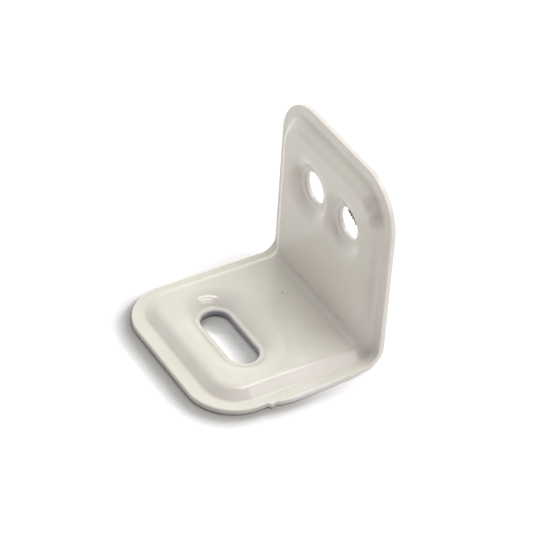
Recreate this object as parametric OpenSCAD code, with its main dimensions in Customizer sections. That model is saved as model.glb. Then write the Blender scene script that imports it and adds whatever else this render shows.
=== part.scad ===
// Angle bracket pressed from one strip of coated sheet steel.
// Two legs meet at a right angle. Each leg has a flat rim round its free sides and a raised
// field inside it, and the rim and the field both run round the bend about one axis.
// The base leg lies on the floor with its underside at z = 0 and its free end towards -X.
// The upright leg stands at the +X end. The origin is under the middle of the bracket.

/* [Sheet] */
// Thickness of the sheet with its coating
sheet_t = 1.0; // [0.8:0.1:1.2]
// Radius that the coating gives to the sheared edges
edge_r = 0.25; // [0.1:0.05:0.3]

/* [Legs] */
// Width of both legs
bracket_w = 30; // [30:1:40]
// Length of the base leg, from the back of the upright to its free end
base_len = 29; // [29:1:45]
// Height of the upright leg, from the floor to its free end
upright_h = 32; // [31:1:50]
// Radius of the two free corners of the base leg
base_corner_r = 7.4; // [6.6:0.2:9]
// Radius of the two free corners of the upright leg
upright_corner_r = 7.8; // [6.6:0.2:9]

/* [Bend] */
// Inside radius of the bend, measured at the rim
bend_r = 2.5; // [2.2:0.1:4]

/* [Raised field] */
// Height of the raised field above the rim
field_h = 1.6; // [1.5:0.1:1.8]
// Width of the flat rim along the sides of both legs
rim_w = 1.2; // [1:0.1:1.4]
// Width of the flat rim at the free end of the base leg
base_end_rim_w = 2.0; // [1.2:0.1:2.2]
// Width of the flat rim at the free end of the upright leg
upright_end_rim_w = 1.6; // [1.2:0.1:2.2]
// Width of the curved step from the rim up to the field
step_w = 2.6; // [2.4:0.1:2.7]
// Radius of the middle of the sheet at the foot and at the shoulder of the step
step_r = 1.2; // [0.9:0.1:1.3]

/* [Base slot] */
// Distance from the back of the upright to the middle of the slot
slot_x = 17.6; // [16.5:0.1:17.8]
// Length of the slot from end to end, across the leg
slot_len = 12.6; // [9:0.2:13.8]
// Width of the slot
slot_w = 4.7; // [4.3:0.1:5]
// Depth of the pressed dish round the slot
slot_dish_h = 1.4; // [1:0.1:1.5]
// Width of the dish's curved slope, from the slot's lip out to the field
slot_dish_w = 3.7; // [3:0.1:3.9]

/* [Screw holes] */
// Height of the screw holes above the floor
hole_z = 20.1; // [18:0.1:21]
// Distance between the two screw holes
hole_gap = 9.4; // [8.6:0.1:9.8]
// Diameter of the screw holes
hole_d = 4.9; // [4.2:0.1:5.2]
// Depth of the pressed dish round each screw hole
hole_dish_h = 1.1; // [0.8:0.1:1.2]
// Width of a dish's curved slope, from the hole's lip out to the field
hole_dish_w = 3.3; // [2.8:0.1:3.5]

/* [Dishes] */
// Radius of the middle of the sheet where a dish flattens out at its opening
dish_foot_r = 1.2; // [1:0.1:1.3]
// Radius of the rounded edge round each opening, on the raised side
lip_r = 0.45; // [0.3:0.05:0.5]

/* [Hidden] */
$fn = 96;
// Straight pieces that stand for one arc of a curved step, and for one rounded corner of an edge
ARC_STEPS = 8;
EDGE_STEPS = 3;
coat_color = [0.9, 0.89, 0.83];
half_t = sheet_t / 2;
half_w = bracket_w / 2;
// Half the width of the step and the field together
step_half_w = half_w - rim_w;
// Distance from the outer faces to the bend axis
bend_out_r = bend_r + sheet_t;
// A length that reaches right through the sheet in any cut
through = 4 * (sheet_t + field_h);
// Radius of the step's outer corners inside a leg's free corners of the given radius
function foot_corner_r(corner_r, end_rim_w) = corner_r - (rim_w + end_rim_w) / 2;
// Slope between the two arcs of a curved step, w wide and h high, whose radii add up to r_sum
function step_angle(w, h, r_sum) =
    atan2(h - r_sum, w) + asin(min(1, r_sum / norm([w, h - r_sum])));
// Radius of the middle of the sheet at the shoulder of a dish, w wide and h deep, that leaves no
// straight part between the shoulder's arc and the foot's
function dish_shoulder_r(w, h) = (w * w + h * h) / (2 * h) - dish_foot_r;

// Points on an arc about c, from angle a0 to angle a1, both ends included
function arc(c, r, a0, a1, n) = [
    for (i = [0:n])
        let (a = a0 + (a1 - a0) * i / n)
            [c[0] + r * cos(a), c[1] + r * sin(a)]
];

// Underside of a curved step that starts at u = from, w wide and h high, outside to inside
function step_under(from, w, h, foot_r, shoulder_r) =
    let (
        a = step_angle(w, h, foot_r + shoulder_r),
        foot = [from, half_t + foot_r],
        shoulder = [from + w, h + half_t - shoulder_r]
    )
    concat(
        arc(foot, foot_r + half_t, -90, -90 + a, ARC_STEPS),
        arc(shoulder, shoulder_r - half_t, 90 + a, 90, ARC_STEPS)
    );

// Top of the same step, inside to outside
function step_top(from, w, h, foot_r, shoulder_r) =
    let (
        a = step_angle(w, h, foot_r + shoulder_r),
        foot = [from, half_t + foot_r],
        shoulder = [from + w, h + half_t - shoulder_r]
    )
    concat(
        arc(shoulder, shoulder_r + half_t, 90, 90 + a, ARC_STEPS),
        arc(foot, foot_r - half_t, -90 + a, -90, ARC_STEPS)
    );

// Rounded edge of the sheet at u = 0: its upper corner, of radius top_r, and its lower corner
function edge_top(top_r) = arc([top_r, sheet_t - top_r], top_r, 90, 180, EDGE_STEPS);
function edge_low() = arc([edge_r, edge_r], edge_r, 180, 270, EDGE_STEPS);

// Section of flat sheet from its edge to u = w
module flat_section(w) {
    polygon(concat(edge_low(), [[w, 0], [w, sheet_t]], edge_top(edge_r)));
}

// Section of the step from u = 0, and of the raised field from its shoulder to u = w
module field_section(w) {
    polygon(concat(
        step_under(0, step_w, field_h, step_r, step_r),
        [[w, field_h], [w, field_h + sheet_t]],
        step_top(0, step_w, field_h, step_r, step_r)
    ));
}

// Section from a leg's edge over the rim, the step and the field to its middle
module half_section() {
    polygon(concat(
        edge_low(),
        step_under(rim_w, step_w, field_h, step_r, step_r),
        [[half_w, field_h], [half_w, field_h + sheet_t]],
        step_top(rim_w, step_w, field_h, step_r, step_r),
        edge_top(edge_r)
    ));
}

// Its children, a section from an outer edge at u = 0 inwards to the middle at u = w, and the
// same mirrored beside it
module both_sides(w) {
    for (side = [0, 1])
        mirror([side, 0])
            translate([-w, 0])
                children();
}

// Sweeps the first child, the section across a width of 2 w, straight along +X, and then the
// second child, the section from the edge inwards by r, round two corners of radius r
module rounded_sweep(len, w, r) {
    straight = len - r;
    rotate([90, 0, 90])
        linear_extrude(straight)
            children(0);
    translate([len, r - w, 0])
        rotate([90, 0, 180])
            linear_extrude(2 * (w - r))
                children(1);
    for (side = [0, 1])
        mirror([0, side, 0])
            translate([straight, w - r, 0])
                rotate_extrude(angle = 90)
                    translate([r, 0])
                        mirror([1, 0])
                            children(1);
}

// Space inside the rim, from the bend line to len, with two corners of radius r
module rim_space(len, r) {
    translate([-through, -step_half_w, -through / 2])
        cube([through + len - r, 2 * step_half_w, through]);
    translate([-through, r - step_half_w, -through / 2])
        cube([through + len, 2 * (step_half_w - r), through]);
    for (side = [-1, 1])
        translate([len - r, side * (step_half_w - r), -through / 2])
            cylinder(r = r, h = through);
}

// Plate of one leg, lying along +X from the bend line, with its raised side up
module leg_plate(len, corner_r, end_rim_w) {
    field_len = len - end_rim_w;
    foot_r = foot_corner_r(corner_r, end_rim_w);
    difference() {
        rounded_sweep(len, half_w, corner_r) {
            both_sides(half_w) flat_section(half_w);
            flat_section(corner_r);
        }
        rim_space(field_len, foot_r);
    }
    rounded_sweep(field_len, step_half_w, foot_r) {
        both_sides(step_half_w) field_section(step_half_w);
        field_section(foot_r);
    }
}

// Section of a dish, w wide and h deep, outwards from the edge of an opening of radius r
module dish_section(r, w, h) {
    shoulder_r = dish_shoulder_r(w, h);
    translate([r, field_h - h])
        polygon(concat(
            edge_low(),
            step_under(lip_r, w, h, dish_foot_r, shoulder_r),
            step_top(lip_r, w, h, dish_foot_r, shoulder_r),
            edge_top(lip_r)
        ));
}

// Space of a long or round hole across the leg, r to each side of a middle line of length l
module slot_space(r, l) {
    translate([-r, -l / 2, -through / 2])
        cube([2 * r, l, through]);
    for (side = [-1, 1])
        translate([0, side * l / 2, -through / 2])
            cylinder(r = r, h = through);
}

// Pressed dish round a slot of half width r, with a middle line of length l
module slot_dish(r, l) {
    for (side = [0, 1]) {
        mirror([0, side, 0])
            translate([0, l / 2, 0])
                rotate_extrude(angle = 180)
                    dish_section(r, slot_dish_w, slot_dish_h);
        mirror([side, 0, 0])
            translate([0, l / 2, 0])
                rotate([90, 0, 0])
                    linear_extrude(l)
                        dish_section(r, slot_dish_w, slot_dish_h);
    }
}

// Pressed dish round a screw hole of radius r, kept to its own side of the middle of the leg
module hole_dish(r) {
    intersection() {
        rotate_extrude()
            dish_section(r, hole_dish_w, hole_dish_h);
        translate([-through, -hole_gap / 2, -through])
            cube(2 * through);
    }
}

module base_leg() {
    r = slot_w / 2;
    l = slot_len - slot_w;
    slot_at = slot_x - bend_out_r;
    difference() {
        leg_plate(base_len - bend_out_r, base_corner_r, base_end_rim_w);
        translate([slot_at, 0, 0])
            slot_space(r + lip_r + slot_dish_w, l);
    }
    translate([slot_at, 0, 0])
        slot_dish(r, l);
}

module upright_leg() {
    r = hole_d / 2;
    hole_at = hole_z - bend_out_r;
    difference() {
        leg_plate(upright_h - bend_out_r, upright_corner_r, upright_end_rim_w);
        for (side = [-1, 1])
            translate([hole_at, side * hole_gap / 2, -through / 2])
                cylinder(r = r + lip_r + hole_dish_w, h = through);
    }
    for (side = [0, 1])
        mirror([0, side, 0])
            translate([hole_at, hole_gap / 2, 0])
                hole_dish(r);
}

// Quarter turn of the leg's section about the bend axis, which lies along Y
module bend() {
    rotate([90, 0, 0])
        rotate_extrude(angle = -90)
            translate([bend_out_r, 0])
                rotate(90)
                    both_sides(half_w) half_section();
}

module bracket() {
    color(coat_color)
        translate([base_len / 2 - bend_out_r, 0, 0]) {
            mirror([1, 0, 0])
                base_leg();
            translate([0, 0, bend_out_r])
                bend();
            translate([bend_out_r, 0, bend_out_r])
                rotate([0, -90, 0])
                    upright_leg();
        }
}

bracket();
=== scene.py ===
# Pressed and coated steel angle bracket on a white table.
# The sizes below are in millimetres and repeat the driving sizes of the solid model.
import math

import bmesh
import bpy
from mathutils import Matrix, Vector
from mathutils.geometry import delaunay_2d_cdt


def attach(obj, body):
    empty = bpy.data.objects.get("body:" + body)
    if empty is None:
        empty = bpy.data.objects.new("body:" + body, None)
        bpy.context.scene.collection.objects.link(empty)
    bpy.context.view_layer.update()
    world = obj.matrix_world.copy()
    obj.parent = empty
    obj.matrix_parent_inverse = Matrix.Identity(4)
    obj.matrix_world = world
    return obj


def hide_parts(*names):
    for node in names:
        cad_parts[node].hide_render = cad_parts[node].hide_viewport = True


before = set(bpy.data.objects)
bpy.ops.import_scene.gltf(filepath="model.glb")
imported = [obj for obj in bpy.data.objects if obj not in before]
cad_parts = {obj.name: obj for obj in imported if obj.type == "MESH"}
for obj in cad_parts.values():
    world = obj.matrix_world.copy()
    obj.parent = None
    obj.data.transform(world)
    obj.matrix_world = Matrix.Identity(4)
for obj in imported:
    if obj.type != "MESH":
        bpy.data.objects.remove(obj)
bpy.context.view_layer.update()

MM = 0.001
SHEET_T = 1.0
EDGE_R = 0.25
BRACKET_W = 30.0
BASE_LEN = 29.0
UPRIGHT_H = 32.0
BASE_CORNER_R = 7.4
UPRIGHT_CORNER_R = 7.8
BEND_R = 2.5
FIELD_H = 1.6
RIM_W = 1.2
BASE_END_RIM_W = 2.0
UPRIGHT_END_RIM_W = 1.6
STEP_W = 2.6
STEP_R = 1.2
SLOT_X = 17.6
SLOT_LEN = 12.6
SLOT_W = 4.7
SLOT_DISH_H = 1.4
SLOT_DISH_W = 3.7
HOLE_Z = 20.1
HOLE_GAP = 9.4
HOLE_D = 4.9
HOLE_DISH_H = 1.1
HOLE_DISH_W = 3.3
DISH_FOOT_R = 1.2
LIP_R = 0.45

HALF_T = SHEET_T / 2
HALF_W = BRACKET_W / 2
STEP_HALF_W = HALF_W - RIM_W
BEND_OUT_R = BEND_R + SHEET_T
BACK_X = BASE_LEN / 2
BEND_X = BACK_X - BEND_OUT_R
QUARTER = math.pi / 2

# Steps of a section's arc, of its rounded edge, of a leg's corner, of the bend and of half a ring
ARC_STEPS = 14
EDGE_STEPS = 5
CORNER_STEPS = 40
BEND_STEPS = 28
RING_STEPS = 48
# Gaps between points: on straight runs, along a leg's sides, in the field and between rings
ALONG = 1.0
EDGE_GAP = 0.3
FIELD_GRID = 0.6
RING_GAP = 0.13


# Camera, fitted to the photograph: lengths in mm, angles in degrees

CAM_AIM = (2.5, 0.0, 12.0)
CAM_AZIMUTH = -33.21
CAM_ELEVATION = 39.68
CAM_ROLL = 3.88
CAM_DISTANCE = 400.0
CAM_SIDE = 0.617
CAM_RISE = -0.107
CAM_FOCAL_PX = 2726.2
FRAME_PX = 540
SENSOR = 36.0
# Nearest distance that the camera sees, in metres
CLIP_START = 0.01


def add_object(name, data):
    obj = bpy.data.objects.new(name, data)
    bpy.context.scene.collection.objects.link(obj)
    return obj


def add_camera():
    az, el, roll = (math.radians(a) for a in (CAM_AZIMUTH, CAM_ELEVATION, CAM_ROLL))
    back = Vector((math.sin(az) * math.cos(el), -math.cos(az) * math.cos(el), math.sin(el)))
    level = Vector((math.cos(az), math.sin(az), 0))
    rise = back.cross(level)
    right = level * math.cos(roll) + rise * math.sin(roll)
    up = rise * math.cos(roll) - level * math.sin(roll)
    place = Vector(CAM_AIM) + right * CAM_SIDE + up * CAM_RISE + back * CAM_DISTANCE
    data = bpy.data.cameras.new("camera")
    data.sensor_width = SENSOR
    data.lens = SENSOR * CAM_FOCAL_PX / FRAME_PX
    data.clip_start = CLIP_START
    camera = add_object("camera", data)
    turn = Matrix((right, up, back)).transposed().to_4x4()
    camera.matrix_world = Matrix.Translation(place * MM) @ turn
    bpy.context.scene.camera = camera


add_camera()


# Section of the pressed sheet

class Step:
    """Curved step w wide and h high: a foot arc, a straight and a shoulder arc."""

    def __init__(self, w, h, foot_r, shoulder_r):
        self.w, self.h, self.foot_r, self.shoulder_r = w, h, foot_r, shoulder_r
        r_sum = foot_r + shoulder_r
        reach = math.hypot(w, h - r_sum)
        self.angle = math.atan2(h - r_sum, w) + math.asin(min(1, r_sum / reach))
        self.foot = (0, HALF_T + foot_r)
        self.shoulder = (w, h + HALF_T - shoulder_r)

    def top(self):
        return (arc(self.shoulder, self.shoulder_r + HALF_T, QUARTER, QUARTER + self.angle, 1)
                + arc(self.foot, self.foot_r - HALF_T, self.angle - QUARTER, -QUARTER, -1))

    def under(self):
        return (arc(self.foot, self.foot_r + HALF_T, -QUARTER, self.angle - QUARTER, 1)
                + arc(self.shoulder, self.shoulder_r - HALF_T, QUARTER + self.angle, QUARTER, -1))

    def height(self, x):
        """Height of the middle of the sheet at x, from 0 at the foot to h at the shoulder."""
        x = min(max(x, 0.0), self.w)
        foot_end = self.foot_r * math.sin(self.angle)
        shoulder_end = self.w - self.shoulder_r * math.sin(self.angle)
        if x <= foot_end:
            return self.foot_r - math.sqrt(self.foot_r ** 2 - x * x)
        if x >= shoulder_end:
            return self.h - self.shoulder_r + math.sqrt(self.shoulder_r ** 2 - (self.w - x) ** 2)
        start = self.foot_r * (1 - math.cos(self.angle))
        return start + (x - foot_end) * math.tan(self.angle)


def arc(centre, r, a0, a1, sign, n=ARC_STEPS):
    """Points (u, v) on an arc with their normals, which point away from the centre for sign 1."""
    rows = []
    for i in range(n + 1):
        a = a0 + (a1 - a0) * i / n
        c, s = math.cos(a), math.sin(a)
        rows.append((centre[0] + r * c, centre[1] + r * s, sign * c, sign * s))
    return rows


def edge_section(level, top_r=EDGE_R):
    """The sheared edge from the sheet's top, over both rounded corners, to its underside."""
    top = (top_r, level + SHEET_T - top_r)
    low = (EDGE_R, level + EDGE_R)
    section = (arc(top, top_r, QUARTER, 2 * QUARTER, 1, EDGE_STEPS)
               + arc(low, EDGE_R, 2 * QUARTER, 3 * QUARTER, 1, EDGE_STEPS))
    if top_r > EDGE_R:
        section.append((top_r, level, 0, -1))
    return section


def dish_step(w, h):
    """Step of a dish, w wide and h deep, which has no straight part between its two arcs."""
    shoulder_r = (w * w + h * h) / (2 * h) - DISH_FOOT_R
    return Step(w, h, DISH_FOOT_R, shoulder_r)


LEG_STEP = Step(STEP_W, FIELD_H, STEP_R, STEP_R)


# Mesh store: points are merged where patches meet

# Points in the same cell, this wide, are one point. The shift keeps plain sizes off its sides.
KEY_STEP = 0.001
KEY_SHIFT = 0.00037


class Sheet:
    """Points, normals and faces of the bracket, with each point's share of edge and of wall."""

    def __init__(self):
        self.points, self.normals, self.faces, self.index = [], [], [], {}
        self.edge, self.wall = [], []

    def vertex(self, point, normal, edge=0.0, wall=0.0):
        key = tuple(math.floor((c + KEY_SHIFT) / KEY_STEP) for c in point)
        if key not in self.index:
            self.index[key] = len(self.points)
            self.points.append(Vector(point) * MM)
            self.normals.append(Vector(normal).normalized())
            self.edge.append(edge)
            self.wall.append(wall)
        return self.index[key]

    def face(self, corners):
        unique = list(dict.fromkeys(corners))
        if len(unique) > 2:
            self.faces.append(unique)

    def grid(self, rows, closed=False):
        pairs = list(zip(rows, rows[1:]))
        if closed:
            pairs.append((rows[-1], rows[0]))
        for one, two in pairs:
            for j in range(len(one) - 1):
                self.face((one[j], one[j + 1], two[j + 1], two[j]))


# Places of the leg's own coordinates: a along the leg, y across it, v up from its outer face

def on_base(a, y, v):
    return (BEND_X - a, y, v)


def base_turn(a, y, v):
    return (-a, y, v)


def on_upright(a, y, v):
    return (BACK_X - v, y, BEND_OUT_R + a)


def upright_turn(a, y, v):
    return (-v, y, a)


def spread(start, end, gap):
    """Even places from start to end, no further apart than the gap."""
    n = max(1, math.ceil(abs(end - start) / gap))
    return [start + (end - start) * i / n for i in range(n + 1)]


def rounded_path(length, half, corner_r, counts):
    """Stations round a leg's free sides, with two corners: a place, and the way inwards."""
    straight, side = length - corner_r, half - corner_r
    along, across = counts
    path = [((straight * k / along, half), (0, -1)) for k in range(along + 1)]
    for i in range(1, CORNER_STEPS + 1):
        angle = QUARTER * (1 - i / CORNER_STEPS)
        c, s = math.cos(angle), math.sin(angle)
        path.append(((straight + corner_r * c, side + corner_r * s), (-c, -s)))
    path += [((length, side * (1 - k / across)), (-1, 0)) for k in range(1, across + 1)]
    other = [((a, -y), (i, -j)) for (a, y), (i, j) in reversed(path[:-1])]
    return path + other


class Plate:
    """One leg: its outline, the outline of its step's foot, and that of its raised field."""

    def __init__(self, length, corner_r, end_rim_w):
        foot_r = corner_r - (RIM_W + end_rim_w) / 2
        counts = (round((length - corner_r) / EDGE_GAP), round((HALF_W - corner_r) / EDGE_GAP))
        self.edge = rounded_path(length, HALF_W, corner_r, counts)
        self.foot = rounded_path(length - end_rim_w, STEP_HALF_W, foot_r, counts)
        self.reach = length - end_rim_w - STEP_W
        self.side = STEP_HALF_W - STEP_W
        self.corner_r = foot_r - STEP_W

    def holds(self, a, y, margin):
        """Whether a place lies on the raised field, clear of its outline by the margin."""
        if not (margin < a < self.reach - margin and abs(y) < self.side - margin):
            return False
        da = a - (self.reach - self.corner_r)
        dy = abs(y) - (self.side - self.corner_r)
        return not (da > 0 and dy > 0 and math.hypot(da, dy) > self.corner_r - margin)


# How far the ragged sheared edge stands out of the base leg's near side, along X: (x, reach)
FLASH = ((-5.3, 0.0), (-4.9, 0.5), (-4.55, 0.52), (-4.3, 0.3), (-3.8, 0.26), (-3.5, 0.5),
         (-2.2, 0.72), (-0.5, 0.82), (1.2, 0.74), (3.0, 0.62), (5.0, 0.55), (7.0, 0.46),
         (9.0, 0.4), (10.3, 0.22), (10.9, 0.0))
# A fine wave on it: its height, and its two paces along X
FLASH_WAVE = 0.035
FLASH_FINE = 5.3
FLASH_COARSE = 2.1
# How close to the leg's side a place counts as on it
SIDE_SLACK = 0.01


def flash_reach(x, y):
    """Reach of the ragged edge beyond the leg's side, at a place on its outline."""
    if y > SIDE_SLACK - HALF_W or not FLASH[0][0] < x < FLASH[-1][0]:
        return 0.0
    for (x0, r0), (x1, r1) in zip(FLASH, FLASH[1:]):
        if x <= x1:
            reach = r0 + (r1 - r0) * (x - x0) / (x1 - x0)
            wave = FLASH_WAVE * math.sin(FLASH_FINE * x) * math.sin(FLASH_COARSE * x + 1)
            return max(reach + wave, 0.0)
    return 0.0


def border(sheet, plate, place, turn, ragged=False):
    """A leg's rim and step, swept round its free sides, with the ragged near edge if asked."""
    top, edge, under = LEG_STEP.top(), edge_section(0), LEG_STEP.under()
    rows = []
    for outer, inner in zip(plate.edge, plate.foot):
        row = []
        reach = flash_reach(BEND_X - outer[0][0], outer[0][1]) if ragged else 0.0
        for section, ((a, y), (i, j)) in ((top, inner), (edge, outer), (under, inner)):
            out = reach if section is edge else 0.0
            row += [sheet.vertex(place(a + u * i, y + u * j - out, v),
                                 turn(nu * i, nu * j, nv), edge=float(section is edge))
                    for u, v, nu, nv in section]
        rows.append(row)
    sheet.grid(rows)


# Raised field with the dishes pressed into it

class Opening:
    """A round or long hole: its middle line runs across the leg, and half is its half width."""

    def __init__(self, a, y, half, line, dish):
        self.a, self.y, self.half, self.line = a, y, half, line
        self.dish = dish
        self.level = FIELD_H - dish.h

    def depth(self, a, y):
        """Depth of the dish at a place."""
        return self.dish.h - self.dish.height(self.gap(a, y) - LIP_R)

    def gap(self, a, y):
        dy = max(abs(y - self.y) - self.line / 2, 0)
        return math.hypot(a - self.a, dy) - self.half

    def path(self, steps):
        """Stations round the opening: a place on the middle line and the way outwards."""
        rows = []
        for end in (1, -1):
            middle = self.y + end * self.line / 2
            for i in range(steps + 1):
                angle = math.pi * i / steps + (0 if end > 0 else math.pi)
                rows.append(((self.a, middle), (math.cos(angle), math.sin(angle))))
            if self.line:
                side = -end
                for y in spread(middle, self.y - end * self.line / 2, ALONG)[1:-1]:
                    rows.append(((self.a, y), (side, 0)))
            else:
                rows.pop()
        return rows

    def ring(self, u, steps):
        return [(a + (self.half + u) * i, y + (self.half + u) * j)
                for (a, y), (i, j) in self.path(steps)]


BASE_OPENINGS = [Opening(SLOT_X - BEND_OUT_R, 0, SLOT_W / 2, SLOT_LEN - SLOT_W,
                         dish_step(SLOT_DISH_W, SLOT_DISH_H))]
UPRIGHT_OPENINGS = [Opening(HOLE_Z - BEND_OUT_R, y, HOLE_D / 2, 0,
                            dish_step(HOLE_DISH_W, HOLE_DISH_H))
                    for y in (HOLE_GAP / 2, -HOLE_GAP / 2)]
# Width over which two dishes blend
DISH_BLEND = 0.12
# Distance over which slopes are measured, and the slack for a place on a lip
GRADIENT_STEP = 0.01
TINY = 0.0001
# Slack of the field's net: for points that meet, and for triangles on its outline
NET_MERGE = 1e-6
NET_SLACK = 0.02
# How fast the painted shade grows where an opening's edge turns down into its wall
WALL_RISE = 1.6


def field_height(openings, a, y):
    """Height of the sheet's middle over the leg's outer face, with the dishes blended."""
    depths = [o.depth(a, y) for o in openings]
    if len(depths) == 1:
        depth = depths[0]
    else:
        one, two = depths
        depth = (one + two + math.sqrt((one - two) ** 2 + DISH_BLEND ** 2) - DISH_BLEND) / 2
        depth = max(depth, 0.0)
    return FIELD_H + HALF_T - depth


def field_frame(openings, a, y):
    """Height and unit normal of the field at a place."""
    for o in openings:
        if o.gap(a, y) < LIP_R + TINY:
            return o.level + HALF_T, Vector((0, 0, 1))
    e = GRADIENT_STEP
    slope_a = (field_height(openings, a + e, y) - field_height(openings, a - e, y)) / (2 * e)
    slope_y = (field_height(openings, a, y + e) - field_height(openings, a, y - e)) / (2 * e)
    normal = Vector((-slope_a, -slope_y, 1)).normalized()
    return field_height(openings, a, y), normal


def field_points(plate, openings):
    """Free points of the field's net: rings round the openings and a loose grid between."""
    reach = LIP_R + openings[0].dish.w
    points = []
    for own in openings:
        for u in spread(LIP_R, reach + RING_GAP, RING_GAP)[1:]:
            for a, y in own.ring(u, RING_STEPS):
                others = [o.gap(a, y) for o in openings if o is not own]
                if all(gap > u + RING_GAP / 2 for gap in others):
                    points.append((a, y))
    for a in spread(0, plate.reach, FIELD_GRID):
        for y in spread(-HALF_W, HALF_W, FIELD_GRID):
            if all(o.gap(a, y) > reach + 2 * RING_GAP for o in openings):
                points.append((a, y))
    return [p for p in points if plate.holds(*p, RING_GAP)]


def field_net(plate, openings):
    """Triangles over the field: their places in the leg's plane, and the corner numbers."""
    outline = [(a + STEP_W * i, y + STEP_W * j) for (a, y), (i, j) in plate.foot]
    outline += [(0.0, y) for y in spread(-plate.side, plate.side, ALONG)[1:-1]]
    loops = [outline] + [o.ring(LIP_R, RING_STEPS) for o in openings]
    points, edges = [], []
    for loop in loops:
        start, n = len(points), len(loop)
        points += loop
        edges += [(start + k, start + (k + 1) % n) for k in range(n)]
    points += field_points(plate, openings)
    flat = [Vector(p) for p in points]
    places, _, triangles, _, _, _ = delaunay_2d_cdt(flat, edges, [], 0, NET_MERGE)
    kept = []
    for corners in triangles:
        a = sum(places[k].x for k in corners) / len(corners)
        y = sum(places[k].y for k in corners) / len(corners)
        solid = all(o.gap(a, y) > LIP_R for o in openings)
        if solid and plate.holds(a, y, -NET_SLACK) and a > 0:
            kept.append(corners)
    return places, kept


def field(sheet, plate, openings, place, turn):
    """Both faces of a leg's raised field, with the dishes."""
    places, triangles = field_net(plate, openings)
    for side in (1, -1):
        numbers = {}
        for corners in triangles:
            for k in corners:
                if k not in numbers:
                    a, y = places[k]
                    height, n = field_frame(openings, a, y)
                    shift = n * (side * HALF_T)
                    spot = place(a + shift.x, y + shift.y, height + shift.z)
                    numbers[k] = sheet.vertex(spot, turn(side * n.x, side * n.y, side * n.z))
            sheet.face([numbers[k] for k in corners])


def opening_walls(sheet, openings, place, turn, wall_shade):
    """The rounded edge and the wall of each opening. The wall shade tells how much painted shade
    its wall gets.
    """
    for o in openings:
        section = edge_section(o.level, LIP_R)
        rows = []
        for (a, y), (i, j) in o.path(RING_STEPS):
            rows.append([sheet.vertex(place(a + (o.half + u) * i, y + (o.half + u) * j, v),
                                      turn(nu * i, nu * j, nv),
                                      wall=wall_shade * min(WALL_RISE * (1 - nv), 1))
                         for u, v, nu, nv in section])
        sheet.grid(rows, closed=True)


def leg(sheet, plate, openings, place, turn, wall_shade, ragged=False):
    border(sheet, plate, place, turn, ragged)
    field(sheet, plate, openings, place, turn)
    opening_walls(sheet, openings, place, turn, wall_shade)


def bend(sheet):
    """Quarter turn of the section about the bend axis, from the base to the upright."""
    section = [(u + RIM_W, v, nu, nv) for u, v, nu, nv in LEG_STEP.top()]
    edge_start = len(section)
    section += edge_section(0)
    edge_end = len(section)
    section += [(u + RIM_W, v, nu, nv) for u, v, nu, nv in LEG_STEP.under()]
    section = [point + (float(edge_start <= k < edge_end),) for k, point in enumerate(section)]
    near = STEP_HALF_W - STEP_W
    right = [(HALF_W - u, v, -nu, nv, e) for u, v, nu, nv, e in section]
    left = [(u - HALF_W, v, nu, nv, e) for u, v, nu, nv, e in section]
    ys = spread(near, -near, ALONG)
    top = [(y, FIELD_H + SHEET_T, 0, 1, 0.0) for y in ys]
    under = [(y, FIELD_H, 0, -1, 0.0) for y in ys]
    loop = list(reversed(right)) + top[1:-1] + left + list(reversed(under))[1:-1]
    loop.append(loop[0])
    rows = []
    for k in range(BEND_STEPS + 1):
        angle = QUARTER * k / BEND_STEPS
        c, s = math.cos(angle), math.sin(angle)
        row = []
        for y, v, ny, nv, edge in loop:
            r = BEND_OUT_R - v
            spot = (BEND_X + r * s, y, BEND_OUT_R - r * c)
            row.append(sheet.vertex(spot, (-nv * s, ny, nv * c), edge=edge))
        rows.append(row)
    sheet.grid(rows)


def outward_mesh(name, points, faces):
    """A mesh with its faces turned outwards. It prints how many edges are open."""
    mesh = bpy.data.meshes.new(name)
    mesh.from_pydata(points, [], faces)
    work = bmesh.new()
    work.from_mesh(mesh)
    bmesh.ops.recalc_face_normals(work, faces=work.faces)
    open_edges = sum(1 for e in work.edges if not e.is_manifold)
    print(name, "faces", len(work.faces), "open edges", open_edges)
    work.to_mesh(mesh)
    work.free()
    return mesh


def finish_sheet(sheet, name):
    mesh = outward_mesh(name, sheet.points, sheet.faces)
    mesh.shade_smooth()
    mesh.normals_split_custom_set_from_vertices(sheet.normals)
    for label, values in (("edge", sheet.edge), ("wall", sheet.wall)):
        layer = mesh.attributes.new(label, "FLOAT", "POINT")
        layer.data.foreach_set("value", values)
    return add_object(name, mesh)


# How much painted shade the openings' walls get
SLOT_WALL_SHADE = 1.0
HOLES_WALL_SHADE = 0.3


def build_bracket():
    sheet = Sheet()
    base = Plate(BASE_LEN - BEND_OUT_R, BASE_CORNER_R, BASE_END_RIM_W)
    upright = Plate(UPRIGHT_H - BEND_OUT_R, UPRIGHT_CORNER_R, UPRIGHT_END_RIM_W)
    leg(sheet, base, BASE_OPENINGS, on_base, base_turn, SLOT_WALL_SHADE, ragged=True)
    leg(sheet, upright, UPRIGHT_OPENINGS, on_upright, upright_turn, HOLES_WALL_SHADE)
    bend(sheet)
    obj = finish_sheet(sheet, "pressed_bracket")
    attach(obj, "root")
    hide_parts("bracket")
    return obj


# Burr on the upper near lip of the near screw hole

# Its two ends, as angles from straight up towards the near side
BURR_START = math.radians(-6)
BURR_END = math.radians(60)
BURR_STEPS = 40
# How far it reaches into the hole and into the lip, and where its front and back lie along X
BURR_REACH = 0.62
BURR_ROOT = 0.3
BURR_FRONT = 13.02
BURR_BACK = 13.36
# Share of its reach at its start, what that share loses on the way, and the least share
BURR_FULL = 0.95
BURR_FALL = 0.75
BURR_LEAST = 0.1
# Waves on that share: their height, and their pace along the burr
BURR_WAVES = ((0.14, 23), (0.1, 47))
# Taper of its tip, and the height and pace of the wave that bends the tip to and fro
BURR_TAPER = 0.05
BURR_SWAY = 0.05
BURR_SWAY_PACE = 31


def burr_swell(share):
    """Full in the middle of the burr and nothing at both of its ends."""
    return math.sqrt(max(math.sin(math.pi * share), 0))


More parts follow.
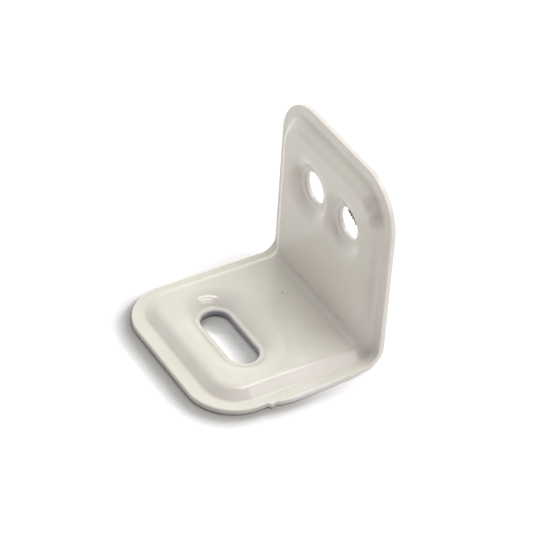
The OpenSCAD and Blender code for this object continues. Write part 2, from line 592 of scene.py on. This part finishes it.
def burr_reach(share):
    """Ragged reach of the burr into the hole."""
    ragged = BURR_FULL - BURR_FALL * share
    for height, pace in BURR_WAVES:
        ragged += height * math.sin(pace * share)
    return BURR_REACH * max(ragged, BURR_LEAST) * burr_swell(share)


def build_burr():
    """A strip of four-cornered rings along the lip, with a cap at each end."""
    hole_r = HOLE_D / 2
    points, faces = [], []
    for k in range(BURR_STEPS + 1):
        share = k / BURR_STEPS
        angle = BURR_START + (BURR_END - BURR_START) * share
        inner = hole_r - burr_reach(share)
        sway = BURR_SWAY * math.sin(BURR_SWAY_PACE * share)
        root = hole_r + BURR_ROOT * burr_swell(share)
        for r, x in ((root, BURR_FRONT), (inner, BURR_FRONT + BURR_TAPER + sway),
                     (inner + BURR_TAPER, BURR_BACK - BURR_TAPER + sway), (root, BURR_BACK)):
            spot = (x, -HOLE_GAP / 2 - r * math.sin(angle), HOLE_Z + r * math.cos(angle))
            points.append(Vector(spot) * MM)
        if k:
            old, new = 4 * (k - 1), 4 * k
            faces += [(old + n, old + (n + 1) % 4, new + (n + 1) % 4, new + n) for n in range(4)]
    last = 4 * BURR_STEPS
    faces += [(0, 1, 2, 3), (last + 3, last + 2, last + 1, last)]
    burr = add_object("hole_burr", outward_mesh("hole_burr", points, faces))
    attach(burr, "root")
    burr.data.materials.append(burr_material())


# Materials

CREAM = (0.735, 0.72, 0.63)
PALE_CREAM = (0.77, 0.755, 0.67)
EDGE_WHITE = (0.76, 0.745, 0.66)
# White of the ragged near edge: a paler flash of coat, and partly a painted reflection of the white
# table
FLASH_AND_REFLECTION_WHITE = (0.92, 0.91, 0.88)
# Dark blue-grey of painted shade on the openings' walls
WALL_SHADE_GREY = (0.30, 0.31, 0.37)
# Brown of painted shade: on the upright's near top corner step, in the bend's near end and left of
# each screw hole
SHADE_BROWN = (0.36, 0.29, 0.25)
# Mauve of a painted shade band along the upright's near step
SHADE_MAUVE = (0.60, 0.53, 0.54)
# Straw of a painted band of warm light on the upright's top step
LIT_STEP_STRAW = (0.74, 0.74, 0.58)
SPECK_DARK = (0.10, 0.08, 0.09)
FLAKE_DARK = (0.09, 0.055, 0.05)
FLAKE_LIGHT = (0.32, 0.25, 0.22)
# Each painted spot of shade or light: its place in mm, its half sizes along X, Y and Z, its colour
# and its strength.
# The white one lies on the ragged near edge, and is partly a painted reflection.
PAINTED_SHADE_AND_LIGHT_SPOTS = (((12.6, -10.5, 28.1), (3.2, 1.9, 1.6), SHADE_BROWN, 0.3),
          ((12.7, -12.3, 26.3), (3.2, 1.6, 2.4), SHADE_BROWN, 0.42),
          ((12.6, -4.2, 29.1), (3.2, 5.0, 1.2), LIT_STEP_STRAW, 0.5),
          ((12.6, -12.6, 15.0), (3.0, 0.75, 12.5), SHADE_MAUVE, 0.55),
          ((12.0, -13.6, 2.2), (1.9, 1.6, 2.4), SHADE_BROWN, 0.18),
          ((3.2, -15.9, 0.5), (8.8, 0.9, 1.3), FLASH_AND_REFLECTION_WHITE, 0.9),
          ((12.9, -1.9, 17.6), (2.0, 1.6, 1.6), SHADE_BROWN, 0.14),
          ((12.9, 8.3, 20.6), (2.0, 1.0, 1.9), SHADE_BROWN, 0.16))
# Each speck: its place in mm and its radius
SPECKS = (((8.14, 3.64, 2.6), 0.16), ((13.4, -15.0, 15.1), 0.22), ((11.9, -5.72, 3.5), 0.13),
          ((5.2, -8.1, 2.6), 0.09), ((-10.6, 2.2, 2.6), 0.08), ((11.9, 7.7, 12.2), 0.09))
# Share of a painted spot's and of a speck's size at which it starts to fade, and a speck's strength
PAINTED_SPOT_SOFT = 0.1
SPECK_SOFT = 0.5
SPECK_STRENGTH = 0.9
# Each noise: its scale and its detail
CLOUD_NOISE = (120, 4)
GRAIN_NOISE = (2600, 2)
PAINTED_SPOT_NOISE = (900, 5)
PEEL_NOISE = (420, 3)
FLAKE_NOISE = (2500, 4)
# Each span: a low and a high value, and the two values that they become
CLOUD_TONE = (0.35, 0.65, 0, 1)
CLOUD_ROUGH = (0.3, 0.7, 0.02, 0.05)
EDGE_OUTER = (0.8, 1.0, 0, 1)
EDGE_WORN = (0.3, 0.6, 0.5, 0.9)
WALL_SHADE_SPAN = (0.3, 0.7, 0.75, 1.0)
PAINTED_SPOT_RAGGED = (0.3, 0.7, 0.7, 1.0)
FLAKE_TONE = (0.35, 0.65, 0, 1)
FLAKE_ROUGH = (0, 1, 0.35, 0.6)
# Each bump: its strength, and its depth in metres
PEEL_BUMP = (0.015, 0.0002)
FLAKE_BUMP = (0.6, 0.0001)
# Roughness that worn edges add
WORN_DULL = 0.16
COAT_IOR = 1.5


def new_material(name):
    material = bpy.data.materials.new(name)
    material.use_nodes = True
    nodes = material.node_tree.nodes
    return material, nodes, material.node_tree.links, nodes["Principled BSDF"]


def noise(nodes, links, place, scale, detail):
    waves = nodes.new("ShaderNodeTexNoise")
    waves.inputs["Scale"].default_value = scale
    waves.inputs["Detail"].default_value = detail
    links.new(place.outputs["Object"], waves.inputs["Vector"])
    return waves.outputs["Fac"]


def span(nodes, links, value, low, high, out_low, out_high):
    """A value mapped from one span to another with soft ends."""
    node = nodes.new("ShaderNodeMapRange")
    node.interpolation_type = "SMOOTHSTEP"
    for name, number in (("From Min", low), ("From Max", high), ("To Min", out_low),
                         ("To Max", out_high)):
        node.inputs[name].default_value = number
    links.new(value, node.inputs["Value"])
    return node.outputs["Result"]


def blend(nodes, links, share, one, colour):
    """Colour one, turned towards a plain colour by the share."""
    node = nodes.new("ShaderNodeMix")
    node.data_type = "RGBA"
    if isinstance(one, tuple):
        node.inputs["A"].default_value = one + (1,)
    else:
        links.new(one, node.inputs["A"])
    node.inputs["B"].default_value = colour + (1,)
    links.new(share, node.inputs["Factor"])
    return node.outputs["Result"]


def oval_share(nodes, links, place, centre, half, soft, strength):
    """Share that is strength inside an oval spot, and fades to 0 at its rim."""
    shift = nodes.new("ShaderNodeVectorMath")
    shift.operation = "SUBTRACT"
    shift.inputs[1].default_value = Vector(centre) * MM
    scale = nodes.new("ShaderNodeVectorMath")
    scale.operation = "DIVIDE"
    scale.inputs[1].default_value = Vector(half) * MM
    away = nodes.new("ShaderNodeVectorMath")
    away.operation = "LENGTH"
    links.new(place.outputs["Object"], shift.inputs[0])
    links.new(shift.outputs[0], scale.inputs[0])
    links.new(scale.outputs[0], away.inputs[0])
    return span(nodes, links, away.outputs["Value"], soft, 1.0, strength, 0.0)


def maths(nodes, links, operation, *values):
    """Result of a maths operation on numbers (floats) and outputs of other nodes."""
    node = nodes.new("ShaderNodeMath")
    node.operation = operation
    for socket, value in zip(node.inputs, values):
        if isinstance(value, float):
            socket.default_value = value
        else:
            links.new(value, socket)
    return node.outputs[0]


def bump(nodes, links, height, strength, depth):
    node = nodes.new("ShaderNodeBump")
    node.inputs["Strength"].default_value = strength
    node.inputs["Distance"].default_value = depth
    links.new(height, node.inputs["Height"])
    return node.outputs["Normal"]


def attribute(nodes, name):
    node = nodes.new("ShaderNodeAttribute")
    node.attribute_name = name
    return node.outputs["Fac"]


def coat_material():
    """Glossy cream coat: cloudy in tone, paler on sheared edges, with painted shade on the
    openings' walls and painted shade and light in oval spots.
    """
    material, nodes, links, shader = new_material("cream_coating")
    place = nodes.new("ShaderNodeTexCoord")
    cloud = noise(nodes, links, place, *CLOUD_NOISE)
    grain = noise(nodes, links, place, *GRAIN_NOISE)
    colour = blend(nodes, links, span(nodes, links, cloud, *CLOUD_TONE), CREAM, PALE_CREAM)
    outer = span(nodes, links, attribute(nodes, "edge"), *EDGE_OUTER)
    worn = maths(nodes, links, "MULTIPLY", outer, span(nodes, links, grain, *EDGE_WORN))
    colour = blend(nodes, links, worn, colour, EDGE_WHITE)
    # Painted shade on the openings' walls, in dark blue-grey
    wall = attribute(nodes, "wall")
    wall_shade_share = maths(nodes, links, "MULTIPLY", wall, span(nodes, links, grain, *WALL_SHADE_SPAN))
    colour = blend(nodes, links, wall_shade_share, colour, WALL_SHADE_GREY)
    ragged = span(nodes, links, noise(nodes, links, place, *PAINTED_SPOT_NOISE), *PAINTED_SPOT_RAGGED)
    # Painted shade and painted light in ragged oval spots
    for centre, half, tone, strength in PAINTED_SHADE_AND_LIGHT_SPOTS:
        oval = oval_share(nodes, links, place, centre, half, PAINTED_SPOT_SOFT, strength)
        share = maths(nodes, links, "MULTIPLY", oval, ragged)
        colour = blend(nodes, links, share, colour, tone)
    for centre, radius in SPECKS:
        half = (radius, radius, radius)
        share = oval_share(nodes, links, place, centre, half, SPECK_SOFT, SPECK_STRENGTH)
        colour = blend(nodes, links, share, colour, SPECK_DARK)
    links.new(colour, shader.inputs["Base Color"])
    rough = span(nodes, links, cloud, *CLOUD_ROUGH)
    dull = maths(nodes, links, "MULTIPLY_ADD", worn, WORN_DULL, rough)
    links.new(dull, shader.inputs["Roughness"])
    shader.inputs["IOR"].default_value = COAT_IOR
    peel = bump(nodes, links, noise(nodes, links, place, *PEEL_NOISE), *PEEL_BUMP)
    links.new(peel, shader.inputs["Normal"])
    return material


def burr_material():
    """Dark brown flakes of coat on a paler brown."""
    material, nodes, links, shader = new_material("brown_burr")
    place = nodes.new("ShaderNodeTexCoord")
    flakes = span(nodes, links, noise(nodes, links, place, *FLAKE_NOISE), *FLAKE_TONE)
    colour = blend(nodes, links, flakes, FLAKE_DARK, FLAKE_LIGHT)
    links.new(colour, shader.inputs["Base Color"])
    links.new(span(nodes, links, flakes, *FLAKE_ROUGH), shader.inputs["Roughness"])
    links.new(bump(nodes, links, flakes, *FLAKE_BUMP), shader.inputs["Normal"])
    return material


# Table, light and surroundings

FLOOR_SIZE = 3.0
FLOOR_WHITE = (0.96, 0.96, 0.96)
FLOOR_SHADED = (0.40, 0.40, 0.38)
FLOOR_ROUGH = 0.9
FLOOR_GLOW = 0.14
# The table is darker where the bracket, up to SHADE_REACH away, shuts off the low light from the
# back right. Along X the shade is whole up to SHADE_FULL, and it is gone at SHADE_END. In metres.
SHADE_FROM = (0.88, 0.30, 0.36)
SHADE_REACH = 0.004
SHADE_FULL = -0.006
SHADE_END = 0.014
# Openness of the table to that light, from fully shaded to clear
SHADE_OPEN = (0.76, 0.985)
SHADE_SAMPLES = 16


def floor_material():
    """White table with a faint glow of its own, and with a shade beside the base leg."""
    material, nodes, links, shader = new_material("white_table")
    from_side = nodes.new("ShaderNodeCombineXYZ")
    for socket, number in zip(from_side.inputs, SHADE_FROM):
        socket.default_value = number
    shade = nodes.new("ShaderNodeAmbientOcclusion")
    shade.samples = SHADE_SAMPLES
    shade.inputs["Distance"].default_value = SHADE_REACH
    links.new(from_side.outputs[0], shade.inputs["Normal"])
    open_sky = span(nodes, links, shade.outputs["AO"], *SHADE_OPEN, 0.0, 1.0)
    place = nodes.new("ShaderNodeSeparateXYZ")
    links.new(nodes.new("ShaderNodeTexCoord").outputs["Object"], place.inputs[0])
    clear = span(nodes, links, place.outputs["X"], SHADE_FULL, SHADE_END, 0.0, 1.0)
    lit = maths(nodes, links, "MAXIMUM", open_sky, clear)
    colour = blend(nodes, links, lit, FLOOR_SHADED, FLOOR_WHITE)
    links.new(colour, shader.inputs["Base Color"])
    shader.inputs["Roughness"].default_value = FLOOR_ROUGH
    shader.inputs["Specular IOR Level"].default_value = 0.0
    shader.inputs["Emission Color"].default_value = (1, 1, 1, 1)
    links.new(glow(nodes, links, lit), shader.inputs["Emission Strength"])
    return material


def glow(nodes, links, share):
    """The table's glow where it is seen directly, in gloss or through glass, times a share."""
    rays = nodes.new("ShaderNodeLightPath").outputs
    seen = maths(nodes, links, "MAXIMUM", rays["Is Camera Ray"], rays["Is Glossy Ray"])
    seen = maths(nodes, links, "MAXIMUM", seen, rays["Is Transmission Ray"])
    return maths(nodes, links, "MULTIPLY", maths(nodes, links, "MULTIPLY", seen, share), FLOOR_GLOW)


def add_floor():
    mesh = bpy.data.meshes.new("floor")
    h = FLOOR_SIZE / 2
    mesh.from_pydata([(-h, -h, 0), (h, -h, 0), (h, h, 0), (-h, h, 0)], [], [(0, 1, 2, 3)])
    floor = add_object("floor", mesh)
    floor.data.materials.append(floor_material())


def add_lamp(name, place, turn, size, radiance):
    """A flat lamp at a place in metres. Its size is a width and a depth. It shines along its -Z."""
    width, depth = size
    data = bpy.data.lights.new(name, "AREA")
    data.shape = "RECTANGLE"
    data.size = width
    data.size_y = depth
    data.energy = radiance * math.pi * width * depth
    lamp = add_object(name, data)
    lamp.location = place
    lamp.rotation_euler = turn


def sky_direction(azimuth, elevation):
    """Unit vector towards a place in the sky, at an angle from +X towards +Y and one above."""
    az, el = math.radians(azimuth), math.radians(elevation)
    return Vector((math.cos(az) * math.cos(el), math.sin(az) * math.cos(el), math.sin(el)))


# Three strip lights hang overhead, side by side, and a large soft panel stands at the right
STRIP_PLACES = ((0.25, 0.0, 1.0), (0.30, -0.18, 1.0), (0.34, -0.37, 1.0))
STRIP_SIZE = (0.58, 0.09)
STRIP_TURN = math.radians(13)
STRIP_RADIANCE = 8.6
PANEL_AZIMUTH = 324
PANEL_ELEVATION = 31
PANEL_DISTANCE = 1.0
PANEL_SIZE = (0.85, 0.75)
PANEL_RADIANCE = 2.1


def add_lamps():
    for k, place in enumerate(STRIP_PLACES):
        add_lamp(f"strip_{k}", place, (0, 0, STRIP_TURN), STRIP_SIZE, STRIP_RADIANCE)
    away = sky_direction(PANEL_AZIMUTH, PANEL_ELEVATION)
    turn = away.to_track_quat("Z", "Y").to_euler()
    add_lamp("soft_panel", away * PANEL_DISTANCE, turn, PANEL_SIZE, PANEL_RADIANCE)


# The room is brighter towards the back wall than behind the camera
SKY_AZIMUTH = 74
SKY_ELEVATION = 25
SKY_POWER = 0.75
SKY_BRIGHT = (1.02, 1.075, 0.965)
SKY_DIM = (0.22, 0.173, 0.228)


def add_world():
    world = bpy.data.worlds.new("studio")
    world.use_nodes = True
    nodes, links = world.node_tree.nodes, world.node_tree.links
    place = nodes.new("ShaderNodeTexCoord")
    facing = nodes.new("ShaderNodeVectorMath")
    facing.operation = "DOT_PRODUCT"
    facing.inputs[1].default_value = sky_direction(SKY_AZIMUTH, SKY_ELEVATION)
    links.new(place.outputs["Generated"], facing.inputs[0])
    front = maths(nodes, links, "MAXIMUM", facing.outputs["Value"], 0.0)
    soft = maths(nodes, links, "POWER", front, SKY_POWER)
    tone = nodes.new("ShaderNodeVectorMath")
    tone.operation = "MULTIPLY_ADD"
    tone.inputs[1].default_value = SKY_BRIGHT
    tone.inputs[2].default_value = SKY_DIM
    links.new(soft, tone.inputs[0])
    links.new(tone.outputs[0], nodes["Background"].inputs["Color"])
    bpy.context.scene.world = world


bracket = build_bracket()
bracket.data.materials.append(coat_material())
build_burr()
add_floor()
add_lamps()
add_world()
bpy.context.scene.view_settings.view_transform = "Standard"
